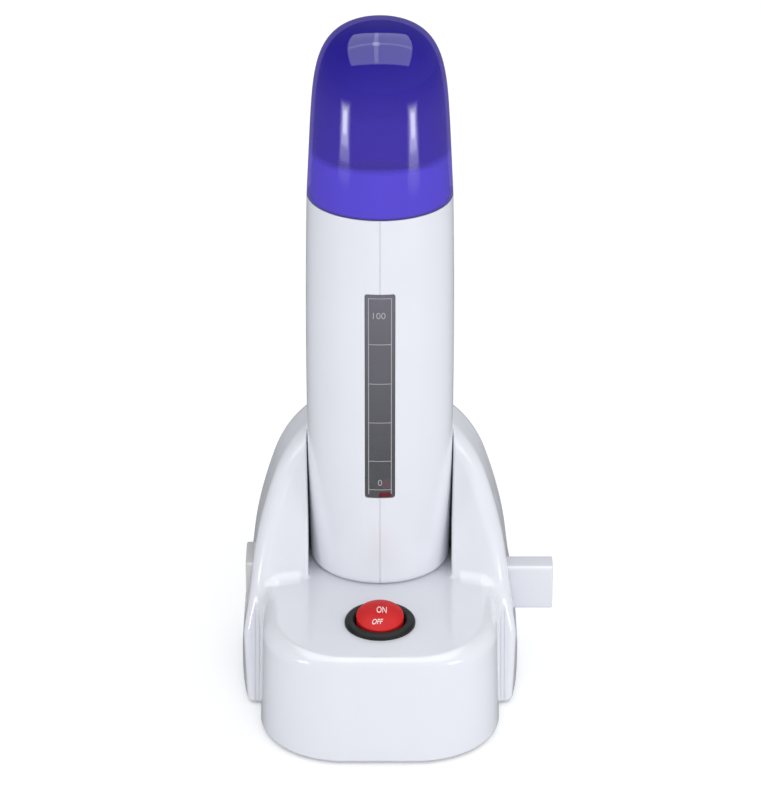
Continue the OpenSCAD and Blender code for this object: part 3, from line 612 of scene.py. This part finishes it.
def iso_mesh(field, lo, hi, h):
    """Points, quads and normals on the field's zero surface; the grid of spacing h reaches past it."""
    values = sampled(field, [np.arange(a, b + h, h) for a, b in zip(lo, hi)])
    inside = values < 0
    crossed = crossed_cells(inside)
    cells = np.argwhere(crossed)
    number = np.full(crossed.shape, -1, np.int32)
    number[crossed] = np.arange(len(cells))
    points = crossing_points(values, cells) * h + np.array(lo)
    rounds, least_slope, reach = 3, 0.2, 0.4 * h
    for _ in range(rounds):
        slope = gradient(field, points)
        move = field(*points.T) / np.maximum((slope * slope).sum(1), least_slope)
        points -= np.clip(move, -reach, reach)[:, None] * slope
    slope = gradient(field, points)
    normals = slope / np.maximum(np.linalg.norm(slope, axis=1), 1e-6)[:, None]
    return points, crossing_quads(inside, number), normals


def base_cover():
    spacing = 0.9
    points, quads, normals = iso_mesh(cover_shell, (-58, -58, -1.0), (58, 63, 119), spacing)
    ob = add_mesh("base_cover_skin", points, quads.tolist(), WHITE, normals=normals)
    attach(ob, "base")
    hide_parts("base_cover")


def hood_beads():
    """Two fine beads down the front of each side of the hood's foot."""
    bead_r, sunk, taper = 0.42, 0.15, 0.004
    beads = []
    for side in (-1, 1):
        for x in (48.3, 49.9):
            path = [(side * (x - taper * z), HOOD_FRONT + sunk + z * math.tan(HOOD_LEAN), z)
                    for z in range(2, 38, 2)]
            beads.append(tube("bead", path, bead_r, WHITE))
    ob = join("hood_beads", beads)
    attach(ob, "base")


base_cover()


# ---------------------------------------------------------------- the handheld's shell
def rim_height(drop):
    """The height at each y of the neck's sloping rim, or of a line drop below it."""
    return lambda y: RIM_Z - drop - (y - RIM_Y) * RIM_SLOPE


def neck_height(share):
    """The height at each y of a line that much of the way from the shoulder to the rim."""
    return lambda y: SHOULDER_Z + share * (rim_height(0)(y) - SHOULDER_Z)


def neck_ring(h, inset, z):
    return ring(lid_half(h) - inset, z, ratio(inset))


def grip_rings(inset, z0, z1, steps):
    return [ring(grip_half(z) - inset, z, ratio(inset)) for z in np.linspace(z0, z1, steps)]


def foot_half(z):
    """Half the shell's width at the round edge of its foot."""
    drop = GRIP_Z + FOOT_R - z
    return grip_half(GRIP_Z + FOOT_R) - FOOT_R + math.sqrt(max(FOOT_R ** 2 - drop ** 2, 0))


def shell_rings():
    """Rings from the foot's middle up the outside, over the neck's rim and down the inside."""
    shoulder, edge, break_w = grip_half(SHOULDER_Z), 0.35, 0.1
    foot_wall, foot_curve, middle = 2, 3.4, 12.0
    rings = [ring(w, GRIP_Z, ratio(0)) for w in (4.0, 12.0, 19.0)]
    for a in np.radians(np.linspace(0, 90, 9)):
        w = grip_half(GRIP_Z + FOOT_R) - FOOT_R * (1 - math.sin(a))
        rings.append(ring(w, GRIP_Z + FOOT_R * (1 - math.cos(a)), ratio(0)))
    rings += grip_rings(0, GRIP_Z + FOOT_R + 2, SHOULDER_Z - edge, 46)
    rings.append(ring(shoulder - break_w, SHOULDER_Z - break_w, ratio(0)))
    rings.append(ring(shoulder - edge, SHOULDER_Z, ratio(0)))

    rings.append(neck_ring(0, NECK_INSET, SHOULDER_Z))
    for share in (0.1, 0.3, 0.5, 0.7, 0.88):
        rings.append(neck_ring(NECK_H * share, NECK_INSET, neck_height(share)))
    for into, drop in ((0.0, 0.5), (0.12, 0.15), (0.45, 0.0), (NECK_WALL - 0.45, 0.0),
                       (NECK_WALL - 0.12, 0.15), (NECK_WALL, 0.5)):
        rings.append(neck_ring(NECK_H - drop, NECK_INSET + into, rim_height(drop)))

    rings.append(neck_ring(0, NECK_INSET + NECK_WALL, SHOULDER_Z - 2))
    rings.append(ring(grip_half(SHOULDER_Z - 2) - SHELL_WALL, SHOULDER_Z - 2.4, ratio(SHELL_WALL)))
    rings += grip_rings(SHELL_WALL, SHOULDER_Z - 6, GRIP_Z + 4, 24)
    foot_z = GRIP_Z + foot_wall
    rings.append(ring(grip_half(foot_z) - foot_curve, foot_z, ratio(SHELL_WALL)))
    rings.append(ring(middle, foot_z, ratio(SHELL_WALL)))
    return rings


def cut_window(ob):
    gap, corner, front, back = 0.1, 1.1, -10.0, 14.0
    middle = (WINDOW_Z0 + WINDOW_Z1) / 2
    slot = rounded_loop(WINDOW_W + 2 * gap, WINDOW_Z1 - WINDOW_Z0 + 2 * gap, corner)
    cut(ob, [[(x, y, middle + z) for x, z in slot] for y in (front, back)])


def cut_inlet(ob):
    """The oblong opening in the foot that goes over the base's upright connector."""
    oblong = rounded_loop(NOSE_W + 1.3, NOSE_D + 1.5, 5.7, 12)
    cut(ob, [[(x, GRIP_Y + y, GRIP_Z + z) for x, y in oblong] for z in (-3.0, 3.5)])


def cut_parting(ob):
    """The fine groove where the half shells meet, in front and behind."""
    depth, half_width, outside = 0.3, 0.13, 34.0
    for side in (-1, 1):
        inner = []
        for z in np.linspace(GRIP_Z - 1, SHOULDER_Z + 0.2, 40):
            half = grip_half(z) if z > GRIP_Z + FOOT_R else foot_half(z)
            inner.append((GRIP_Y + side * (ratio(0) * half - depth), z))
        outer = [(GRIP_Y + side * outside, z) for _, z in reversed(inner)]
        cut(ob, [[(x, y, z) for y, z in inner + outer] for x in (-half_width, half_width)])


def cut_screw_holes(ob):
    """The two holes on the left through which the shells are screwed together."""
    hole_r, from_back, outside, end = 2.9, 5.2, -40.0, -9.0
    y0 = GRIP_Y + GRIP_D / 2 - SHELL_WALL - from_back
    for z in (GRIP_Z + 20, SHOULDER_Z - 14):
        cut(ob, [[(x, y0 + p, z + q) for p, q in circle(hole_r, 32)] for x in (outside, end)])


def grip_shell():
    ob = add_mesh("grip_skin", *loft(shell_rings()), WHITE)
    face_outwards(ob.data)
    cut_window(ob)
    cut_inlet(ob)
    cut_parting(ob)
    cut_screw_holes(ob)
    paint(ob, WHITE)
    shade_grip(ob.data)
    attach(ob, "handheld")
    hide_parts("shell_left", "shell_right")


def read_mesh(items, field, width, kind):
    """One value, or a row of them, for each item of the mesh."""
    values = np.empty(len(items) * width, kind)
    items.foreach_get(field, values)
    return values.reshape(-1, width) if width > 1 else values


def shade_grip(me):
    """Normals of the true oval on the outer wall, and plain ones elsewhere."""
    soften(me, 32)
    normals = read_mesh(me.corner_normals, "vector", 3, np.float32)
    corner = read_mesh(me.loops, "vertex_index", 1, np.int32)
    points = read_mesh(me.vertices, "co", 3, np.float32)[corner] * 1000.0
    sides = read_mesh(me.polygons, "loop_total", 1, np.int32)
    flat = np.repeat(read_mesh(me.polygons, "normal", 3, np.float32), sides, 0)
    x, y, z = points[:, 0], points[:, 1] - GRIP_Y, points[:, 2]
    half, narrow = grip_half(z), ratio(0)
    on_wall = (z > GRIP_Z + FOOT_R + 0.01) & (z < SHOULDER_Z - 0.3)
    on_wall &= np.abs(np.hypot(x, y / narrow) - half) < 0.12
    true = np.stack([x, y / (narrow * narrow), half * 2 * BELLY * (z - BELLY_Z)], 1)
    true /= np.maximum(np.linalg.norm(true, axis=1), 1e-6)[:, None]
    use = on_wall & ((true * flat).sum(1) > 0.9)
    normals[use] = true[use]
    me.normals_split_custom_set(normals.tolist())


grip_shell()
hood_beads()


# ---------------------------------------------------------------- the level window
def front_y(x, z, inset):
    """The y of the handheld's front, inset millimetres under the skin."""
    half = grip_half(z) - inset
    return GRIP_Y - ratio(inset) * math.sqrt(max(half * half - x * x, 0.0))


def curved_panel(name, x_span, z_span, inset, thick, mat, r=0.0, nx=10, nz=40):
    """A panel that follows the handheld's front, with its face inset under the skin and corners of r.

    Its rows stand at even heights, and closer together in the corners.
    """
    (x0, x1), (z0, z1) = x_span, z_span
    heights = {round(z0 + r + (z1 - z0 - 2 * r) * k / nz, 5) for k in range(nz + 1)}
    for a in [0.0] + QUARTER:
        t = r * (1 - math.cos(a))
        heights |= {round(z0 + t, 5), round(z1 - t, 5)}
    rings = []
    for z in sorted(heights):
        short = r - min(z - z0, z1 - z, r)
        side = r - math.sqrt(max(r * r - short * short, 0))
        xs = np.linspace(x0 + side, x1 - side, nx + 1)
        rings.append([(x, front_y(x, z, inset), z) for x in xs] +
                     [(x, front_y(x, z, inset + thick), z) for x in xs[::-1]])
    ob = add_mesh(name, *loft(rings), mat)
    weld(ob.data)
    soften(ob.data, 30)
    return ob


def window_lines():
    """The fine frame, the graduation bars and the two plain numbers on the lens."""
    face, thick = 0.08, 0.12
    frame_x, frame_line, bar_x, bar_line = 4.4, 0.16, 4.3, 0.14
    number_size, sunk = 3.8, 0.2
    lines = []
    for side in (-1, 1):
        x = side * frame_x
        lines.append(curved_panel("line", (x - frame_line, x + frame_line),
                                  (WINDOW_Z0 + 1.6, WINDOW_Z1 - 1.6), face, thick, LINE, nx=1))
    bars = [BAR_Z + BAR_STEP * i for i in range(BARS)]
    for z in bars + [WINDOW_Z0 + 3.6, WINDOW_Z1 - 1.7]:
        lines.append(curved_panel("line", (-bar_x, bar_x), (z - bar_line, z + bar_line), face, thick, LINE,
                                  nx=8, nz=1))
    for text, x, z in (("100", -0.6, 165.8), ("0", 0.0, 93.2)):
        def place(u, v, w):
            return x + u, front_y(x + u, z + v, face if w > 0 else sunk), z + v

        lines.append(lettering("number", text, number_size, 0, LINE, place))
    return join("window_lines", lines)


def level_window():
    """The smoky lens, the lines on its face and the red glow at its foot."""
    sunk, thick, corner = 0.15, 1.4, 1.7
    lens = curved_panel("window_lens", (-WINDOW_W / 2, WINDOW_W / 2), (WINDOW_Z0, WINDOW_Z1), sunk, thick,
                        LENS, r=corner)
    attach(lens, "handheld")
    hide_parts("level_window")
    ob = window_lines()
    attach(ob, "handheld")
    # a painted glow of the indicator, not a lamp
    glow = curved_panel("indicator_glow", (-0.4, 4.3), (WINDOW_Z0 + 0.3, WINDOW_Z0 + 2.4), 0.07, 0.3, GLOW,
                        r=0.5)
    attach(glow, "handheld")


level_window()


# ---------------------------------------------------------------- the lid
def lid():
    """One skin down the inside, round the edge and up the outside, closed by a pole at each end."""
    outer, inner, steps = [], [], 45
    for t in np.linspace(0, 1, steps + 1)[:-1]:
        h = LID_H * (1 - (1 - t) ** 2)
        outer.append(ring(lid_half(h), SHOULDER_Z + h, ratio(0)))
        inner.append(ring(max(lid_half(h) - LID_WALL, 0.05), SHOULDER_Z + h * (LID_H - LID_WALL) / LID_H,
                          ratio(LID_WALL)))
    edge = [ring(lid_half(0) - 0.4, SHOULDER_Z, ratio(0.4)),
            ring(lid_half(0.15) - 0.1, SHOULDER_Z + 0.15, ratio(0)),
            ring(lid_half(0.4), SHOULDER_Z + 0.4, ratio(0))]
    rings = inner[::-1] + edge + outer[1:]
    n = len(rings[0])
    points, faces = loft(rings, caps=False)
    inner_pole, outer_pole = len(points), len(points) + 1
    points += [(0, GRIP_Y, SHOULDER_Z + LID_H - LID_WALL), (0, GRIP_Y, SHOULDER_Z + LID_H)]
    for start, pole in ((0, inner_pole), ((len(rings) - 1) * n, outer_pole)):
        faces += [(start + k, start + (k + 1) % n, pole) for k in range(n)]
    ob = add_mesh("lid_shell", points, faces, LID)
    face_outwards(ob.data)
    soften(ob.data, 50)
    ob.data.materials.append(LID_IN)
    inside = set(range(len(inner) * n)) | {inner_pole}
    for face in ob.data.polygons:
        face.material_index = int(all(v in inside for v in face.vertices))
    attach(ob, "lid")
    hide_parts("lid")


lid()

# ---------------------------------------------------------------- the switch
ROCKER_R, ROCKER_H, DOME = BORE - 0.6, 4.0, 2.2                 # the cap's radius, its rim and its dome
DOME_R = (ROCKER_R ** 2 + DOME ** 2) / (2 * DOME)
ROCKER_TILT = math.radians(11)                                  # at rest the rear half is up


def switch_housing():
    """The housing with its round bezel, whose crest lies between an outer and an inner edge."""
    bezel_r, bezel_foot, bezel_h, crest_r = 13.8, 0.45, 2.0, 11.2
    outer_round, inner_w, inner_h = 1.5, 0.9, 0.6
    wall, floor_z, bottom_z = 1.6, -12.4, -17.0
    profile = [(BORE + wall, bottom_z), (BORE + wall, 0.0), (bezel_r, 0.0), (bezel_r, bezel_foot)]
    for a in QUARTER:
        profile.append((bezel_r - outer_round * (1 - math.cos(a)),
                        bezel_foot + (bezel_h - bezel_foot) * math.sin(a)))
    profile.append((crest_r, bezel_h))
    for a in QUARTER:
        profile.append((crest_r - inner_w * math.sin(a), bezel_h - inner_h * (1 - math.cos(a))))
    profile += [(BORE + 0.15, 1.1), (BORE, 0.8), (BORE, floor_z + 0.4), (BORE - 1.3, floor_z), (0.0, floor_z),
                (0.0, bottom_z)]
    body = turned("switch_housing", profile, BLACK, (0, SWITCH_Y, PLATFORM_Z))
    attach(body, "base")
    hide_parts("switch_body")


def dome_height(q):
    """The height of the cap's dome at q from its middle."""
    return ROCKER_H + math.sqrt(DOME_R ** 2 - q * q) - (DOME_R - DOME)


def tip(ob):
    """Puts a piece of the rocker, made round the origin, on its axle and tips it to its rest angle."""
    c, s = math.cos(ROCKER_TILT), math.sin(ROCKER_TILT)
    for v in ob.data.vertices:
        x, y, z = v.co
        v.co = (x, c * y - s * z + SWITCH_Y * MM, s * y + c * z + PLATFORM_Z * MM)
    ob.data.update()
    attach(ob, "rocker")


def rocker():
    """The domed cap, the stem under it and its axle."""
    edge_w, edge_h, foot_z, steps = 0.35, 0.5, -3.0, 14
    profile = [(0.0, foot_z), (ROCKER_R, foot_z), (ROCKER_R, ROCKER_H - edge_h)]
    for a in QUARTER:
        profile.append((ROCKER_R - edge_w * (1 - math.cos(a)), ROCKER_H - edge_h + edge_h * math.sin(a)))
    for k in range(1, steps + 1):
        q = (ROCKER_R - edge_w) * (1 - k / steps)
        profile.append((q, dome_height(q)))
    cap = turned("cap", profile, RED)
    stem_bore, stem_r, stem_foot, stem_top = 1.35, 2.6, -7.0, -2.9
    stem = turned("stem", [(stem_bore, stem_foot), (stem_r, stem_foot), (stem_r, stem_top),
                           (stem_bore, stem_top)], RED, n=48)
    axle_r, axle_half = 1.2, ROCKER_R - 0.3
    axle = add_mesh("axle", *loft([[(x, p, q) for p, q in circle(axle_r, 24)]
                                   for x in (-axle_half, axle_half)]), RED, smooth=40)
    cap = join("rocker_cap.001", [cap, stem, axle])
    tip(cap)
    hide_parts("rocker")


def legends():
    """ON and OFF, printed on the dome."""
    print_depth = 0.1
    for name, text, x, y, size, lean, narrow in (("legend_on", "ON", 0.65, 0.4, 5.2, 0.05, 0.50),
                                                 ("legend_off", "OFF", -1.2, -5.6, 3.2, 0.25, 0.74)):
        def place(u, v, w):
            p, q = u * narrow + x, v + y
            return p, q, dome_height(math.hypot(p, q)) + (print_depth if w > 0 else -print_depth)

        ob = lettering(name, text, size, lean, PRINT, place)
        tip(ob)


switch_housing()
rocker()
legends()


# ---------------------------------------------------------------- the side connectors
def sideways(name, start, end, w, d, r, mat, edge):
    """A rounded block along X from start to its outer end, whose edge is rounded."""
    way = 1 if end > start else -1
    length = abs(end - start)
    rings = []
    for t, inset in ((0.0, 0.0), (length - edge, 0.0), (length - edge * 0.45, edge * 0.12),
                     (length - edge * 0.12, edge * 0.45), (length, edge)):
        outline = rounded_loop(w - 2 * inset, d - 2 * inset, r - inset * 0.6, 8)
        rings.append([(start + way * t, SIDE_Y + p, SIDE_Z + q) for q, p in outline])
    ob = add_mesh(name, *loft(rings), mat)
    face_outwards(ob.data)
    return ob


def outlet_nose():
    """The nose on the right, with the two holes of its sleeves."""
    nose = sideways("outlet_nose", NOSE_START, NOSE_END, NOSE_W, NOSE_D, NOSE_R, WHITE, edge=0.5)
    pole_z, hole_r, depth = 4.3, 1.62, 16.0
    for up in (-pole_z, pole_z):
        cut(nose, [[(x, SIDE_Y + p, SIDE_Z + up + q) for q, p in circle(hole_r, 32)]
                   for x in (NOSE_END + 1.0, NOSE_END - depth)])
    paint(nose, WHITE)
    soften(nose.data, 30)
    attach(nose, "base")
    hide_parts("outlet_housing")


def inlet_collar():
    """The collar on the left, with a socket that takes another base's nose."""
    collar = sideways("inlet_collar", COLLAR_END + COLLAR_L, COLLAR_END, COLLAR_W, COLLAR_D, NOSE_R, GREY_AND_SHADE,
                      edge=0.8)
    gap, depth = 0.3, 14
    socket = rounded_loop(NOSE_W + 2 * gap, NOSE_D + 2 * gap, NOSE_R + gap, 8)
    cut(collar, [[(x, SIDE_Y + p, SIDE_Z + q) for q, p in socket]
                 for x in (COLLAR_END - 1, COLLAR_END + depth)])
    paint(collar, GREY_AND_SHADE)
    soften(collar.data, 30)
    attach(collar, "base")
    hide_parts("inlet_housing")


outlet_nose()
inlet_collar()

# ---------------------------------------------------------------- materials of the CAD pieces that stay
for nodes, mat in (
    (("heating_chamber",), ALU),
    (("ptc_heater", "thermostat"), CERAMIC),
    (("heater_clamp", "thermal_fuse", "shell_screws", "base_screws", "rocker_plunger",
      "rocker_spring"), STEEL),
    (("indicator_board",), BOARD),
    (("indicator_led",), LED),
    (("handheld_inlet", "dock_connector"), DARK),
    (("handheld_pins", "switch_terminals", "dock_contacts", "outlet_contacts", "inlet_pins",
      "contact_blade"), BRASS),
    (("heater_leads", "live_wires"), BROWN),
    (("led_leads", "neutral_wires"), BLUE_WIRE),
    (("base_plate",), MATT_WHITE),
    (("rubber_feet",), RUBBER),
    (("shell_left", "shell_right", "base_cover", "outlet_housing"), WHITE),
    (("inlet_housing",), GREY_AND_SHADE),
    (("level_window",), LENS),
    (("lid",), LID),
    (("switch_body",), BLACK),
    (("rocker",), RED),
):
    for n in nodes:
        paint(NODE[n], mat)


# ---------------------------------------------------------------- floor, light and camera, in metres
def floor():
    """A white floor under the object's shadow, dimmer where a glossy surface mirrors it."""
    half = 6000.0
    m, nt, b = material("floor")
    path = add_node(nt, "LightPath", {})
    colour = mix_colour(nt, path.outputs["Is Glossy Ray"], (0.86, 0.87, 0.88, 1), (0.15, 0.15, 0.16, 1))
    feed(nt, b, {"Base Color": colour, "Roughness": 0.55, "Specular IOR Level": 0.2})
    glow = add_node(nt, "Emission", {"Color": (1, 1, 1, 1), "Strength": 0.21})
    lit = add_node(nt, "AddShader", {0: b.outputs["BSDF"], 1: glow.outputs["Emission"]})
    show(nt, mix_shader(nt, path.outputs["Is Camera Ray"], b.outputs["BSDF"], lit.outputs["Shader"]))
    corners = [(-half, -half, 0), (half, -half, 0), (half, half, 0), (-half, half, 0)]
    add_mesh("floor", corners, [(0, 1, 2, 3)], m)


def aim(ob, way):
    """Turns a lamp or a camera so that it looks along way."""
    ob.rotation_mode = "QUATERNION"
    ob.rotation_quaternion = way.to_track_quat("-Z", "Y")


def area(name, at, towards, wide, high, radiance):
    """A rectangular lamp whose power follows from its radiance and its size."""
    lamp = bpy.data.lights.new(name, "AREA")
    lamp.shape = "RECTANGLE"
    lamp.size, lamp.size_y = wide, high
    lamp.energy = radiance * math.pi * wide * high
    ob = add_object(name, lamp)
    ob.location = at
    aim(ob, Vector(towards) - Vector(at))
    return ob


def sky():
    """A plain sky, brightest to the right, in front and above, and dim where a gloss mirrors it."""
    brightest = (0.66, -0.46, 0.59)
    world = bpy.data.worlds.new("studio")
    bpy.context.scene.world = world
    world.use_nodes = True
    nt = world.node_tree
    way = add_node(nt, "TexCoord", {}).outputs["Generated"]
    along = add_node(nt, "VectorMath", {0: way, 1: brightest})
    along.operation = "DOT_PRODUCT"
    share = add_node(nt, "MapRange", {"Value": along.outputs["Value"], "From Min": -1.0, "From Max": 1.0})
    seen = ramp(nt, share.outputs["Result"], [(0.0, (0.60, 0.61, 0.63)), (1.0, (1.08, 1.08, 1.08))])
    mirrored = ramp(nt, share.outputs["Result"], [(0.0, (0.10, 0.10, 0.11)), (1.0, (0.28, 0.28, 0.28))])
    glossy_ray = add_node(nt, "LightPath", {}).outputs["Is Glossy Ray"]
    feed(nt, nt.nodes["Background"], {"Color": mix_colour(nt, glossy_ray, seen, mirrored), "Strength": 1.0})


def fill():
    """Soft light from in front, which no surface mirrors."""
    at, towards, width, radiance = (0.35, -2.3, 0.95), (0, 0, 0.12), 1.2, 2.4
    ob = area("front_fill", at, towards, width, width, radiance)
    ob.visible_glossy = False


def softbox():
    """A square softbox on its stand leans over the lid, high behind, and shows only as a reflection."""
    lid_top = Vector((0, 0.018, 0.272))
    centre = lid_top + Vector((0, 0.375, 0.96))
    up, face = Vector((0, 0.847, 0.531)), Vector((0, 0.531, -0.847))
    for name, x, rise, wide, high, radiance, gap in (("softbox", 0, 0, 1.6, 2.18, 2.3, 0),
                                                     ("post", -0.06, 0, 0.07, 2.1, 1.8, 0.01),
                                                     ("rail", 0, -0.42, 1.5, 0.10, 1.4, 0.01),
                                                     ("lamp", -0.06, -0.42, 0.10, 0.2, 3.5, 0.02)):
        at = centre + Vector((x, 0, 0)) + up * rise + face * gap
        ob = area(name, at, at + face, wide, high, radiance)
        ob.visible_diffuse = False


def lamps():
    """Two small lamps low in front, each of nested panels that soften its edge."""
    radiance, distance, spacing = 15.0, 0.5, 0.004
    panels = ((0.175, 0.115, 0.05), (0.135, 0.092, 0.15), (0.095, 0.070, 0.3), (0.055, 0.045, 0.5))
    for name, highlight, azimuth, elevation in (
            ("lamp_left", (-0.013, 0.0077, 0.244), -55.3, -15.6),
            ("lamp_right", (0.0123, 0.0072, 0.2426), 51.7, -15.9)):
        az, el = math.radians(azimuth), math.radians(elevation)
        way = Vector((math.sin(az) * math.cos(el), -math.cos(az) * math.cos(el), math.sin(el)))
        for k, (wide, high, share) in enumerate(panels):
            at = Vector(highlight) + way * (distance - spacing * k)
            area(name, at, highlight, wide, high, radiance * share)


def camera():
    """Looks down at the object from in front, with a focal length in pixels of the picture's height."""
    focal_px, picture_px, sensor = 3900.0, 792.0, 36.0
    distance, elevation = 1.5, math.radians(27.5)
    target = Vector((0.0002, 0.0, 0.1327))
    back = Vector((0, -math.cos(elevation), math.sin(elevation)))
    lens = bpy.data.cameras.new("camera")
    lens.sensor_width = sensor
    lens.lens = focal_px / picture_px * sensor
    lens.clip_start, lens.clip_end = 0.05, 50.0
    ob = add_object("camera", lens)
    ob.location = target + back * distance
    aim(ob, -back)
    bpy.context.scene.camera = ob


floor()
sky()
fill()
softbox()
lamps()
camera()
bpy.context.scene.view_settings.view_transform = "Standard"
bpy.context.scene.cycles.transparent_max_bounces = 16
